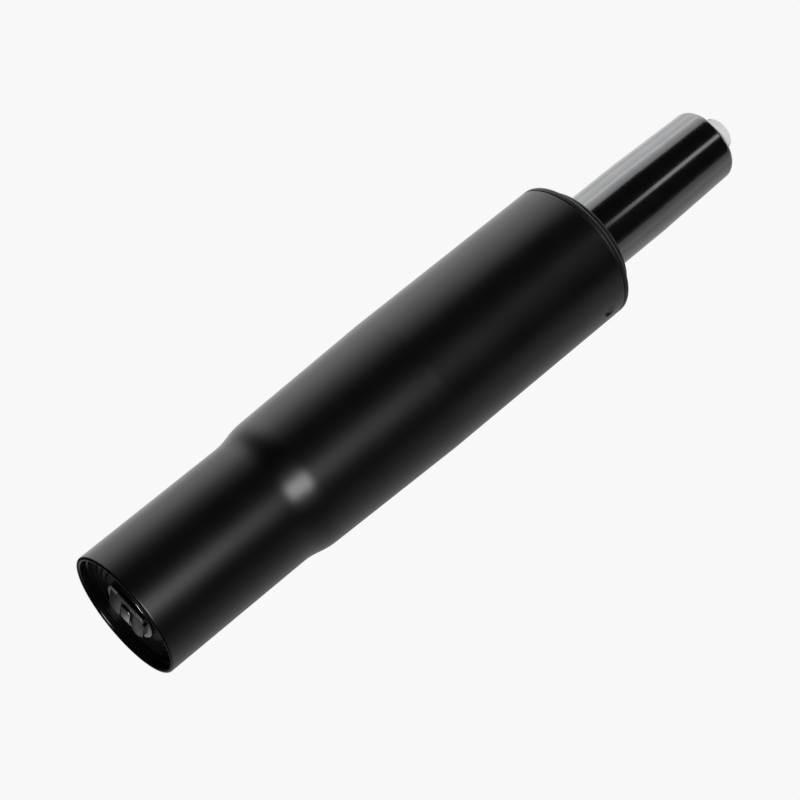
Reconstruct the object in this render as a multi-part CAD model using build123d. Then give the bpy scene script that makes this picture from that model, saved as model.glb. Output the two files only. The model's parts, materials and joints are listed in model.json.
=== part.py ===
from build123d import *
import os
from math import atan2, cos, degrees, radians, sin, tan

# Gas lift cylinder of an office chair, drawn at its lowest setting. All lengths are in
# millimetres. Z runs up the axis, Z = 0 is the bottom rim, and -Y is the front.

# Column: a steel tube, straight at the foot, swaged out to a 1:20 cone and a straight body
BODY_R = 25.0
FOOT_R = 22.0
FOOT_TOP = 55.2
CONE_BOTTOM = 67.7
CONE_TOP = 118.6
CONE_TAPER = 1 / 20
CONE_BOTTOM_R = BODY_R - (CONE_TOP - CONE_BOTTOM) * CONE_TAPER / 2
TUBE_TOP = 194.1
WALL = 1.5
RIM_ROUND = 0.6
TOP_BREAK = 0.35

# Two punch marks lock the guide bush in the column's mouth
STAKE_TOP = 189.2
STAKE_LENGTH = 4.4
STAKE_DEPTH = 1.2
STAKE_TOOL_R = 2.5
STAKE_ANGLES = (-24, 156)

# End plate: a pressed cup that sits on a coined shoulder inside the foot
PLATE_Z = 4.0
PLATE_T = 2.5
PLATE_R = FOOT_R - WALL
COIN_STEP = 0.4
COIN_BITE = 0.2
SKIRT_TOP = 13.0
SKIRT_T = 1.8
BEAD_RADII = (13.4, 15.6, 17.8)
BEAD_HALF = 0.8
BEAD_RISE = 0.4

# Guide bush: a ribbed plastic sleeve with a flange and a raised collar
FLANGE_TOP = 196.5
COLLAR_TOP = 200.0
COLLAR_R = 20.6
COLLAR_ROUND = 1.0
FLANGE_ROUND = 1.1
BUSH_SLEEVE_R = 16.6
BUSH_BOTTOM = CONE_TOP + 0.4
BUSH_LAND = 7.0
BUSH_HEAD_BOTTOM = 180.0
BUSH_RIB_T = 2.0
BUSH_RIBS = 8
BUSH_LEAD = 0.8

# Clearances: a running fit, and the gap between faces that never touch
RUN = 0.05
FREE = 0.3

# How deep pieces of one solid run into each other, and the usual small bevel
OVERLAP = 1.0
BEVEL = 0.2

# Piston rod, its riveted spigot, and its foot with two milled flats and a narrower neck
ROD_R = 5.0
PIN_R = 4.0
PIN_BREAK = 0.3
ROD_FOOT = 0.5
FOOT_HALF_W = 1.95
NECK_HALF_W = 1.5
NECK_Z = 1.75
PIN_Z = 2.2
RIVET_SPREAD = 1.2
RIVET_BEVEL = 0.8

# Retaining clip, its washer, and the angle they are fitted at
CLIP_TURN = -13.7
CLIP_Z = 1.0
CLIP_TOP = 2.15
CLIP_BACK = -9.8
CLIP_BEND = -5.1
CLIP_DIP = 0.35
CLIP_TIP = 7.0
CLIP_TIP_CORNER = (1.8, 2.4)
CLIP_BACK_HALF_W = 7.05
CLIP_PRONG_HALF_W = 7.7
CLIP_SLOT_HALF_W = 2.4
CLIP_GRIP_HALF_W = 1.6
CLIP_SLOT_END = -4.2
CLIP_LEAD_IN = (0.6, 1.0)
CLIP_RELIEF_R = 0.55
LUG_W = 2.8
LUG_T = 0.7
LUG_DROP = 0.35
CLIP_WASHER_R = 10.4
CLIP_WASHER_BORE = PIN_R + 0.1
CLIP_WASHER_TOP = PLATE_Z - 0.05

# Thrust bearing on top of the end plate
BALL_D = 2.5
BALLS = 9
BALL_CIRCLE_R = 6.6
BALL_PLAY = 0.02
RACE_T = 1.2
RACE_R = 9.0
CAGE_T = 1.6
CAGE_INNER_R = 4.6
CAGE_OUTER_R = 8.7
LOWER_RACE_TOP = PLATE_Z + PLATE_T + RACE_T
BALL_Z = LOWER_RACE_TOP + BALL_PLAY + BALL_D / 2
UPPER_RACE_Z = BALL_Z + BALL_D / 2 + BALL_PLAY
ROD_SHOULDER = UPPER_RACE_Z + RACE_T

# Stem: the outer tube of the gas spring, with the chair maker's standard seat taper
STEM_R = 14.0
STEM_WALL = 1.5
STEM_BORE = STEM_R - STEM_WALL
STEM_BOTTOM = 25.0
STEM_TAPER_Z = 227.0
STEM_TOP = 261.4
STEM_HALF_ANGLE = 1 + 26 / 60 + 16 / 3600
STEM_TIP_R = STEM_R - (STEM_TOP - STEM_TAPER_Z) * tan(radians(STEM_HALF_ANGLE))
STEM_TIP_ROUND = 2.2
STEM_FOOT_ROUND = 1.3
TIP_LIP_R = 9.0
FOOT_LIP_R = 8.0

# Rubber buffer under the stem: its two bulges, its waist and its ends
BUMP_R = 11.6
BUMP_UPPER_R = 11.0
BUMP_WAIST_R = 9.8
BUMP_END_R = 10.2
BUMP_WAIST_HALF = 1.4
BUMP_EDGE = 1.0
BUMP_GAP = 0.6

# Lower end of the gas spring, from the rolled lip upward
SUPPORT_TOP = STEM_BOTTOM + STEM_WALL + 1.6
SEAL_NIP = 0.02
SEAL_LIP = 1.2
SEAL_LIP_SLOPE = 0.5
SEAL_LIP_T = 1.8
SEAL_WEB = 2.6
GUIDE_TOP = SUPPORT_TOP + 6.0
SEAL_TOP = GUIDE_TOP + 6.0
SEAT_TOP = SEAL_TOP + 8.0
SEAT_LEDGE = SEAL_TOP + 5.0
SEAT_BORE = 7.2
SEAT_SLOTS = 6
SEAT_SLOT_W = 3.0
SEAT_FLOOR_T = 1.8

# Inner tube that the piston runs in
INNER_BORE = 10.0
INNER_R = 11.25
INNER_TOP = 212.0

# Piston
PISTON_Z = 176.0
PISTON_TOP = 187.0
PISTON_R = INNER_BORE - FREE
PISTON_BEVEL = 0.5
SPIGOT_R = 3.5
RING_FIT_R = INNER_BORE - RUN
PISTON_SEAL_D = 2.2
PISTON_SEAL_Z = 179.4
GUIDE_RING_Z = (182.4, 185.4)
GUIDE_RING_INNER = 8.7
GUIDE_RING_SPLIT = 0.5
GUIDE_RING_SPLIT_LEAN = 30
PISTON_WASHER_R = 7.6
PISTON_WASHER_TOP = 188.2
RIVET_TOP = 190.2

# Valve cartridge
VALVE_Z = 204.0
VALVE_SEAT_R = 3.0
VALVE_SEAT_BEVEL = 0.8
VALVE_LEAD = 0.6
GALLERY = (208.5, 222.0)
GALLERY_R = 4.2
PORT_Z = 216.5
PORT_R = 1.2
PORTS = 4
LAND_Z = (221.0, 227.0)
CARTRIDGE_R = 11.3
CARTRIDGE_TOP = 256.0
BUTTON_WELL_Z = 248.0
CORD_D = 2.0
PIN_SEAL_Z = 232.0
PIN_SEAL_D = 1.8

# Valve pin and release button
VALVE_PIN_R = 2.5
VALVE_STEM_R = 1.7
VALVE_STEM_SHOULDER = (2.0, 3.0)
PIN_TOP = 262.0
POPPET_R = 4.0
POPPET_Z = 199.6
POPPET_BEVEL = 0.6
POPPET_FACE_Z = VALVE_Z - 0.9
POPPET_RIM_Z = VALVE_Z - 1.5
POPPET_SEAL_R = POPPET_R - 0.2
BUTTON_R = 6.0
BUTTON_BOTTOM = 252.5
BUTTON_TOP = 268.2
BUTTON_ROUND = 1.1


def turned(*corners):
    """A solid turned about Z from its corners, each a radius and a height."""
    return revolve(Plane.XZ * make_face(Polyline(*corners, close=True)), Axis.Z)


def ring(inner, outer, bottom, top, bevel=0.0):
    """A flat ring, its outer edges bevelled."""
    corners = [(inner, bottom), (outer - bevel, bottom), (outer, bottom + bevel)]
    corners += [(outer, top - bevel), (outer - bevel, top), (inner, top)]
    return turned(*dict.fromkeys(corners))


def cord_ring(middle_r, section_d, height):
    """An O-ring."""
    return Pos(0, 0, height) * Torus(middle_r, section_d / 2)


def around(count, start=0.0):
    """Turns about Z, evenly spaced."""
    return [Rot(0, 0, start + 360 * index / count) for index in range(count)]


def circles_at(solid, height):
    """The round edges of a turned solid at one height, from the innermost out."""
    level = [e for e in solid.edges().filter_by(GeomType.CIRCLE) if abs(e.center().Z - height) < 1e-4]
    return sorted(level, key=lambda edge: edge.radius)


def column_form(inset, bottom, top):
    """The column's outer form from one height to another, drawn smaller by an inset."""
    foot = (FOOT_R - inset, FOOT_TOP)
    shoulder = (CONE_BOTTOM_R - inset, CONE_BOTTOM)
    middle = ((foot[0] + shoulder[0]) / 2, (foot[1] + shoulder[1]) / 2)
    body_r = BODY_R - inset
    outline = Curve() + [
        Polyline((0, bottom), (foot[0], bottom), foot),
        TangentArc(foot, middle, tangent=(0, 1)),
        TangentArc(shoulder, middle, tangent=(0, -1)),
        Polyline(shoulder, (body_r, CONE_TOP), (body_r, top), (0, top), (0, bottom)),
    ]
    return revolve(Plane.XZ * make_face(outline), Axis.Z)


def stake_form(angle, growth=0.0):
    """The form that a leaning round punch leaves: round and deep below, running out above."""
    lean = atan2(STAKE_DEPTH, STAKE_LENGTH)
    tool = Cylinder(STAKE_TOOL_R + growth, 2 * STAKE_LENGTH, align=(Align.CENTER, Align.CENTER, Align.MIN))
    tool = Rot(0, 90 + degrees(lean), 0) * Pos(0, 0, -growth) * tool
    middle_r = BODY_R - STAKE_DEPTH + STAKE_TOOL_R * sin(lean)
    middle_z = STAKE_TOP - STAKE_LENGTH + STAKE_TOOL_R * cos(lean)
    return Rot(0, 0, angle) * Pos(middle_r, 0, middle_z) * tool


def coined_ridge():
    """The ridge pressed out of the foot's wall that the end plate sits on."""
    top_r = PLATE_R - COIN_STEP
    root_r = PLATE_R + COIN_BITE
    foot_z = PLATE_Z - 3 * COIN_STEP
    return turned(
        (root_r, foot_z),
        (PLATE_R, foot_z),
        (top_r, foot_z + COIN_STEP),
        (top_r, PLATE_Z),
        (root_r, PLATE_Z),
    )


def column_tube():
    tube = column_form(0, 0, TUBE_TOP) - column_form(WALL, 0, TUBE_TOP)
    tube = fillet(circles_at(tube, 0), RIM_ROUND)
    tube = chamfer(circles_at(tube, TUBE_TOP)[-1:], TOP_BREAK)
    tube += coined_ridge()
    bore = Pos(0, 0, STAKE_TOP) * Cylinder(BODY_R - WALL + COIN_BITE, 4 * STAKE_LENGTH)
    for angle in STAKE_ANGLES:
        tube += stake_form(angle, WALL) & bore
    for angle in STAKE_ANGLES:
        tube -= stake_form(angle)
    return tube


def pressed_beads():
    """The plate's underside, from the hole to the rim, with its shallow pressed rings."""
    line = Curve()
    start = (PIN_R + RUN, PLATE_Z)
    for middle in BEAD_RADII:
        near = (middle - BEAD_HALF, PLATE_Z)
        far = (middle + BEAD_HALF, PLATE_Z)
        line += [Line(start, near), ThreePointArc(near, (middle, PLATE_Z + BEAD_RISE), far)]
        start = far
    return line + Line(start, (PLATE_R, PLATE_Z))


def end_plate():
    hole = PIN_R + RUN
    top = PLATE_Z + PLATE_T
    skirt = PLATE_R - SKIRT_T
    outline = pressed_beads() + Polyline(
        (PLATE_R, PLATE_Z),
        (PLATE_R, SKIRT_TOP),
        (skirt, SKIRT_TOP),
        (skirt, top + SKIRT_T),
        (skirt - SKIRT_T, top),
        (hole, top),
        (hole, PLATE_Z),
    )
    return revolve(Plane.XZ * make_face(outline), Axis.Z)


def guide_bush():
    bore = STEM_R + RUN
    seat = BODY_R - WALL
    land_top = BUSH_BOTTOM + BUSH_LAND
    body = ring(bore, BUSH_SLEEVE_R, BUSH_BOTTOM, TUBE_TOP)
    body += ring(bore, seat, BUSH_BOTTOM, land_top, bevel=BUSH_LEAD)
    body += ring(bore, seat, BUSH_HEAD_BOTTOM, TUBE_TOP)
    rib_root = BUSH_SLEEVE_R - OVERLAP
    rib_height = BUSH_HEAD_BOTTOM - land_top + 2 * OVERLAP
    rib = Box(seat - rib_root - RUN, BUSH_RIB_T, rib_height, align=(Align.MIN, Align.CENTER, Align.MIN))
    rib = Pos(rib_root, 0, land_top - OVERLAP) * rib
    for turn in around(BUSH_RIBS, 360 / BUSH_RIBS / 2):
        body += turn * rib
    flange = turned(
        (bore, TUBE_TOP),
        (BODY_R - TOP_BREAK, TUBE_TOP),
        (BODY_R, TUBE_TOP + TOP_BREAK),
        (BODY_R, FLANGE_TOP),
        (COLLAR_R, FLANGE_TOP),
        (COLLAR_R, COLLAR_TOP),
        (bore + BUSH_LEAD, COLLAR_TOP),
        (bore, COLLAR_TOP - BUSH_LEAD),
    )
    flange = fillet(circles_at(flange, FLANGE_TOP)[-1:], FLANGE_ROUND)
    body += fillet(circles_at(flange, COLLAR_TOP)[-1:], COLLAR_ROUND)
    for angle in STAKE_ANGLES:
        body -= stake_form(angle, WALL)
    return body


def lower_race():
    return ring(PIN_R + FREE, RACE_R, LOWER_RACE_TOP - RACE_T, LOWER_RACE_TOP, bevel=BEVEL)


def upper_race():
    return ring(PIN_R, RACE_R, UPPER_RACE_Z, ROD_SHOULDER, bevel=BEVEL)


def bearing_balls():
    ball = Pos(BALL_CIRCLE_R, 0, BALL_Z) * Sphere(BALL_D / 2)
    return Compound(children=[turn * ball for turn in around(BALLS)])


def ball_cage():
    cage = ring(CAGE_INNER_R, CAGE_OUTER_R, BALL_Z - CAGE_T / 2, BALL_Z + CAGE_T / 2, bevel=BEVEL)
    for turn in around(BALLS):
        cage -= turn * Pos(BALL_CIRCLE_R, 0, BALL_Z) * Sphere(BALL_D / 2)
    return cage


def milled_foot(half_w, bottom, top):
    """A stretch of the pin between two milled flats."""
    upward = (Align.CENTER, Align.CENTER, Align.MIN)
    pin = Cylinder(PIN_R, top - bottom, align=upward)
    flats = Box(2 * half_w, 2 * PIN_R, top - bottom, align=upward)
    return Pos(0, 0, bottom) * (pin & flats)


def piston_rod():
    rivet_r = SPIGOT_R + RIVET_SPREAD
    rod = turned(
        (0, PIN_Z),
        (PIN_R - PIN_BREAK, PIN_Z),
        (PIN_R, PIN_Z + PIN_BREAK),
        (PIN_R, ROD_SHOULDER),
        (ROD_R, ROD_SHOULDER),
        (ROD_R, PISTON_Z),
        (SPIGOT_R, PISTON_Z),
        (SPIGOT_R, PISTON_WASHER_TOP),
        (rivet_r, PISTON_WASHER_TOP),
        (rivet_r, RIVET_TOP - RIVET_BEVEL),
        (rivet_r - RIVET_BEVEL, RIVET_TOP),
        (0, RIVET_TOP),
    )
    head = milled_foot(FOOT_HALF_W, ROD_FOOT, NECK_Z)
    neck = milled_foot(NECK_HALF_W, NECK_Z, PIN_Z)
    return rod + Rot(0, 0, CLIP_TURN) * (head + neck)


def clip_prongs(slot_half_w, bottom, top):
    """One layer of the clip's two prongs, either side of a slot."""
    tip_x, tip_y = CLIP_TIP_CORNER
    lead_x, lead_y = CLIP_LEAD_IN
    half = Polyline(
        (0, CLIP_BEND),
        (CLIP_BACK_HALF_W, CLIP_BEND),
        (CLIP_PRONG_HALF_W, CLIP_SLOT_END),
        (CLIP_PRONG_HALF_W, CLIP_TIP - tip_y),
        (CLIP_PRONG_HALF_W - tip_x, CLIP_TIP),
        (slot_half_w + lead_x, CLIP_TIP),
        (slot_half_w, CLIP_TIP - lead_y),
        (slot_half_w, CLIP_SLOT_END),
        (0, CLIP_SLOT_END),
        close=True,
    )
    layer = Pos(0, 0, bottom) * extrude(make_face(half), top - bottom)
    return layer + mirror(layer, Plane.YZ)


def clip_bar():
    """The clip's cross bar, bent down behind the slot, with a lug at each end."""
    side = Polyline(
        (CLIP_BEND, CLIP_Z),
        (CLIP_BACK, CLIP_Z - CLIP_DIP),
        (CLIP_BACK, CLIP_TOP - CLIP_DIP),
        (CLIP_BEND, CLIP_TOP),
        close=True,
    )
    bar = extrude(Plane.YZ * make_face(side), CLIP_BACK_HALF_W, both=True)
    lug = Box(LUG_W, LUG_T, 2 * LUG_DROP, align=(Align.MAX, Align.MIN, Align.CENTER))
    lug = Pos(CLIP_BACK_HALF_W, CLIP_BACK, CLIP_Z - CLIP_DIP) * lug
    return bar + lug + mirror(lug, Plane.YZ)


def retaining_clip():
    clip = clip_prongs(CLIP_SLOT_HALF_W, CLIP_Z, NECK_Z)
    clip += clip_prongs(CLIP_GRIP_HALF_W, NECK_Z, CLIP_TOP)
    clip += clip_bar()
    relief = Cylinder(CLIP_RELIEF_R, 2 * CLIP_TOP)
    for side in (-1, 1):
        clip -= Pos(side * CLIP_SLOT_HALF_W, CLIP_SLOT_END + BEVEL, CLIP_TOP) * relief
    return Rot(0, 0, CLIP_TURN) * clip


def clip_washer():
    return ring(CLIP_WASHER_BORE, CLIP_WASHER_R, CLIP_TOP, CLIP_WASHER_TOP, bevel=BEVEL)


def bump_stop():
    top = STEM_BOTTOM - BUMP_GAP
    waist = (ROD_SHOULDER + top) / 2
    return turned(
        (ROD_R, ROD_SHOULDER),
        (BUMP_R - BUMP_GAP, ROD_SHOULDER),
        (BUMP_R, ROD_SHOULDER + BUMP_EDGE),
        (BUMP_R, waist - BUMP_WAIST_HALF),
        (BUMP_WAIST_R, waist),
        (BUMP_UPPER_R, waist + BUMP_WAIST_HALF),
        (BUMP_UPPER_R, top - BUMP_EDGE),
        (BUMP_END_R, top),
        (ROD_R, top),
    )


def piston():
    body = ring(SPIGOT_R, PISTON_R, PISTON_Z, PISTON_TOP, bevel=PISTON_BEVEL)
    seal_half = PISTON_SEAL_D / 2
    body -= ring(RING_FIT_R - PISTON_SEAL_D, INNER_R, PISTON_SEAL_Z - seal_half, PISTON_SEAL_Z + seal_half)
    return body - ring(GUIDE_RING_INNER, INNER_R, *GUIDE_RING_Z)


def piston_seal():
    return cord_ring(RING_FIT_R - PISTON_SEAL_D / 2, PISTON_SEAL_D, PISTON_SEAL_Z)


def piston_guide_ring():
    band = ring(GUIDE_RING_INNER, RING_FIT_R, *GUIDE_RING_Z, bevel=BEVEL)
    height = GUIDE_RING_Z[1] - GUIDE_RING_Z[0]
    split = Box(2 * height, GUIDE_RING_SPLIT, 4 * height)
    middle = Pos(INNER_BORE, 0, sum(GUIDE_RING_Z) / 2)
    return band - middle * Rot(GUIDE_RING_SPLIT_LEAN, 0, 0) * split


def piston_washer():
    return ring(SPIGOT_R, PISTON_WASHER_R, PISTON_TOP, PISTON_WASHER_TOP, bevel=BEVEL)


def pressure_tube():
    floor = STEM_BOTTOM + STEM_WALL
    roof = STEM_TOP - STEM_WALL
    tube = turned(
        (FOOT_LIP_R, STEM_BOTTOM),
        (STEM_R, STEM_BOTTOM),
        (STEM_R, STEM_TAPER_Z),
        (STEM_TIP_R, STEM_TOP),
        (TIP_LIP_R, STEM_TOP),
        (TIP_LIP_R, roof),
        (STEM_TIP_R - STEM_WALL, roof),
        (STEM_BORE, STEM_TAPER_Z),
        (STEM_BORE, floor),
        (FOOT_LIP_R, floor),
    )
    tube = fillet(circles_at(tube, STEM_TOP)[-1:], STEM_TIP_ROUND)
    return fillet(circles_at(tube, STEM_BOTTOM)[-1:], STEM_FOOT_ROUND)


def support_washer():
    return ring(ROD_R + FREE, STEM_BORE, STEM_BOTTOM + STEM_WALL, SUPPORT_TOP)


def rod_guide():
    return ring(ROD_R + RUN, STEM_BORE, SUPPORT_TOP, GUIDE_TOP)


def rod_seal():
    inner = ROD_R + SEAL_NIP
    web_z = GUIDE_TOP + SEAL_WEB
    return turned(
        (inner, GUIDE_TOP + SEAL_LIP),
        (ROD_R + SEAL_LIP_SLOPE, GUIDE_TOP),
        (STEM_BORE, GUIDE_TOP),
        (STEM_BORE, SEAL_TOP),
        (STEM_BORE - SEAL_LIP_T, SEAL_TOP),
        (STEM_BORE - SEAL_WEB, web_z),
        (ROD_R + SEAL_WEB, web_z),
        (ROD_R + SEAL_LIP_T, SEAL_TOP),
        (ROD_R + SEAL_LIP_SLOPE, SEAL_TOP),
        (inner, SEAL_TOP - SEAL_LIP),
    )


def tube_seat():
    """Centres the inner tube, and lets gas pass from below the piston to the outer passage."""
    seat = ring(SEAT_BORE, STEM_BORE, SEAL_TOP, SEAT_TOP)
    seat -= ring(OVERLAP, INNER_R, SEAT_LEDGE, SEAT_TOP + OVERLAP)
    reach = STEM_BORE - SEAT_BORE + 2 * OVERLAP
    slot = Box(reach, SEAT_SLOT_W, SEAT_TOP, align=(Align.MIN, Align.CENTER, Align.MIN))
    for turn in around(SEAT_SLOTS):
        seat -= turn * Pos(SEAT_BORE - OVERLAP, 0, SEAL_TOP + SEAT_FLOOR_T) * slot
    return seat


def inner_tube():
    return ring(INNER_BORE, INNER_R, SEAT_LEDGE, INNER_TOP)


def groove_for_cord(outer, height):
    half = CORD_D / 2
    return ring(outer - CORD_D, outer + OVERLAP, height - half, height + half)


def valve_body():
    bore = VALVE_PIN_R + RUN
    body = turned(
        (VALVE_SEAT_R + VALVE_SEAT_BEVEL, VALVE_Z),
        (INNER_BORE - VALVE_LEAD, VALVE_Z),
        (INNER_BORE, VALVE_Z + VALVE_LEAD),
        (INNER_BORE, INNER_TOP),
        (INNER_R, INNER_TOP),
        (INNER_R, LAND_Z[0]),
        (STEM_BORE, LAND_Z[0]),
        (STEM_BORE, LAND_Z[1]),
        (CARTRIDGE_R, LAND_Z[1]),
        (CARTRIDGE_R, CARTRIDGE_TOP),
        (BUTTON_R + FREE, CARTRIDGE_TOP),
        (BUTTON_R + FREE, BUTTON_WELL_Z),
        (bore, BUTTON_WELL_Z),
        (bore, GALLERY[1]),
        (GALLERY_R, GALLERY[1]),
        (GALLERY_R, GALLERY[0]),
        (VALVE_SEAT_R, GALLERY[0]),
        (VALVE_SEAT_R, VALVE_Z + VALVE_SEAT_BEVEL),
    )
    port = Cylinder(PORT_R, INNER_R, align=(Align.CENTER, Align.CENTER, Align.MIN))
    port = Pos(GALLERY_R - OVERLAP, 0, PORT_Z) * Rot(0, 90, 0) * port
    for turn in around(PORTS, 45):
        body -= turn * port
    body -= groove_for_cord(INNER_BORE, cord_heights()[0])
    body -= groove_for_cord(STEM_BORE, cord_heights()[1])
    seal_r = VALVE_PIN_R + SEAL_NIP + PIN_SEAL_D
    return body - ring(OVERLAP, seal_r, PIN_SEAL_Z - PIN_SEAL_D / 2, PIN_SEAL_Z + PIN_SEAL_D / 2)


def cord_heights():
    """Middle heights of the cartridge's O-rings: in the inner tube, then in the stem."""
    return (VALVE_Z + INNER_TOP) / 2, sum(LAND_Z) / 2


def inner_tube_seal():
    return cord_ring(INNER_BORE - CORD_D / 2, CORD_D, cord_heights()[0])


def stem_seal():
    return cord_ring(STEM_BORE - CORD_D / 2, CORD_D, cord_heights()[1])


def pin_seal():
    return cord_ring(VALVE_PIN_R + SEAL_NIP + PIN_SEAL_D / 2, PIN_SEAL_D, PIN_SEAL_Z)


def button_guide():
    """The disc under the rolled tip, which the button slides in."""
    return ring(BUTTON_R + RUN, STEM_TIP_R - STEM_WALL, CARTRIDGE_TOP, STEM_TOP - STEM_WALL)


def valve_pin():
    shoulder_low, shoulder_high = VALVE_STEM_SHOULDER
    return turned(
        (0, POPPET_Z),
        (POPPET_R - POPPET_BEVEL, POPPET_Z),
        (POPPET_R, POPPET_Z + POPPET_BEVEL),
        (POPPET_R, POPPET_RIM_Z),
        (VALVE_STEM_R, POPPET_FACE_Z),
        (VALVE_STEM_R, GALLERY[1] + shoulder_low),
        (VALVE_PIN_R, GALLERY[1] + shoulder_high),
        (VALVE_PIN_R, PIN_TOP),
        (0, PIN_TOP),
    )


def poppet_seal():
    return ring(VALVE_STEM_R, POPPET_SEAL_R, POPPET_FACE_Z, VALVE_Z - SEAL_NIP)


def release_button():
    cap = ring(VALVE_PIN_R, BUTTON_R, BUTTON_BOTTOM, PIN_TOP)
    cap += ring(0, BUTTON_R, PIN_TOP, BUTTON_TOP)
    return fillet(circles_at(cap, BUTTON_TOP)[-1:], BUTTON_ROUND)


PIECES = [
    column_tube,
    end_plate,
    guide_bush,
    lower_race,
    ball_cage,
    bearing_balls,
    upper_race,
    piston_rod,
    bump_stop,
    clip_washer,
    retaining_clip,
    piston,
    piston_seal,
    piston_guide_ring,
    piston_washer,
    pressure_tube,
    inner_tube,
    support_washer,
    rod_guide,
    rod_seal,
    tube_seat,
    valve_body,
    inner_tube_seal,
    stem_seal,
    pin_seal,
    button_guide,
    valve_pin,
    poppet_seal,
    release_button,
]

os.makedirs("parts", exist_ok=True)
for piece in PIECES:
    export_step(piece(), f"parts/{piece.__name__}.step")
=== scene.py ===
# %% [markdown]
# # A chair's gas lift cylinder
# The solids of the lift come from its CAD model. This script gives them their looks: it
# makes finer meshes for the pieces that show, dresses every piece in its own finish, sets
# up a small studio and places the camera where the photographer stood. Lengths are in
# metres, Z runs up the lift's axis, Z = 0 is the bottom rim and the camera looks along +Y.

# %% Load the frame
import json
import math

import bmesh
import bpy
from mathutils import Matrix, Vector


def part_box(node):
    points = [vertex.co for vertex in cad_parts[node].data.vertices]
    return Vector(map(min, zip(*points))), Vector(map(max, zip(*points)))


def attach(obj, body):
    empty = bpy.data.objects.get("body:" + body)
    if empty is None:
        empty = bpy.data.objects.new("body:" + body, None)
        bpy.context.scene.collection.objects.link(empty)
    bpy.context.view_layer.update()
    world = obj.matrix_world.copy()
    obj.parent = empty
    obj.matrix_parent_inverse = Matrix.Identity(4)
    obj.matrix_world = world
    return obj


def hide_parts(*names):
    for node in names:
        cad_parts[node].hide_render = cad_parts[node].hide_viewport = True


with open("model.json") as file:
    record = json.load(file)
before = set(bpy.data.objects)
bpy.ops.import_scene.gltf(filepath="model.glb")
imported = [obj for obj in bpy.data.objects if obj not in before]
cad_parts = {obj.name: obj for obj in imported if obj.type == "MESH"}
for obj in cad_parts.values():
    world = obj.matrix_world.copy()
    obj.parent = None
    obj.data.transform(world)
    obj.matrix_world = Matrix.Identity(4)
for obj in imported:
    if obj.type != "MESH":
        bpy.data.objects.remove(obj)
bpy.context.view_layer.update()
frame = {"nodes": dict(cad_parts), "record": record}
record = frame["record"]
MM = 0.001

# %% [markdown]
# ## Wires
# A material is a graph of nodes, and a graph is hard to read as a list of links. So one
# small class stands for an output socket, and Python's arithmetic on it adds Math nodes.
# `1 - mask` then reads as it would on paper.


# %% A wire that does arithmetic
def plug(tree, socket, value):
    """Feeds a socket with a wire or a plain value."""
    if isinstance(value, Wire):
        tree.links.new(value.socket, socket)
    else:
        socket.default_value = value


class Wire:
    """An output socket. Arithmetic on it adds Math nodes to its tree."""

    def __init__(self, tree, socket):
        self.tree = tree
        self.socket = socket

    def math(self, operation, *values):
        node = self.tree.nodes.new("ShaderNodeMath")
        node.operation = operation
        for socket, value in zip(node.inputs, values):
            plug(self.tree, socket, value)
        return Wire(self.tree, node.outputs[0])

    def __add__(self, other):
        return self.math("ADD", self, other)

    def __sub__(self, other):
        return self.math("SUBTRACT", self, other)

    def __rsub__(self, other):
        return self.math("SUBTRACT", other, self)

    def __mul__(self, other):
        return self.math("MULTIPLY", self, other)

    __radd__ = __add__
    __rmul__ = __mul__


# %% [markdown]
# ## Graphs and finishes
# `Graph` adds any other node from its type, its settings and the values of its sockets.
# `Finish` is a graph that ends in one Principled shader. What is the same all over a
# surface is set on the shader's own sockets, and what changes over it comes in through
# wires. Places are read in the lift's own frame, so a texture moves with its piece.


# %% A graph of nodes
def grey(level):
    return (level, level, level, 1.0)


class Graph:
    """A node tree being wired up."""

    def __init__(self, tree):
        self.tree = tree
        self.tree.nodes.clear()

    def node(self, kind, settings=None, output=0, **sockets):
        """Adds a node. A socket goes by its name, or by its number as in s0."""
        made = self.tree.nodes.new("ShaderNode" + kind)
        for name, value in (settings or {}).items():
            setattr(made, name, value)
        for name, value in sockets.items():
            numbered = name[0] == "s" and name[1:].isdigit()
            key = int(name[1:]) if numbered else name.replace("_", " ")
            plug(self.tree, made.inputs[key], value)
        return Wire(self.tree, made.outputs[output]) if made.outputs else None

    def mix(self, share, first, second):
        """A colour that goes from the first to the second as the share goes from 0 to 1."""
        return self.node("Mix", {"data_type": "RGBA"}, 2, s0=share, s6=first, s7=second)

    def ramp(self, value, low, high):
        """0 below low, 1 above high and smooth between."""
        settings = {"interpolation_type": "SMOOTHSTEP"}
        return self.node("MapRange", settings, Value=value, From_Min=low, From_Max=high)

    def dot(self, first, second):
        """How far two directions agree, from -1 to 1."""
        return self.node("VectorMath", {"operation": "DOT_PRODUCT"}, 1, s0=first, s1=second)


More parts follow.
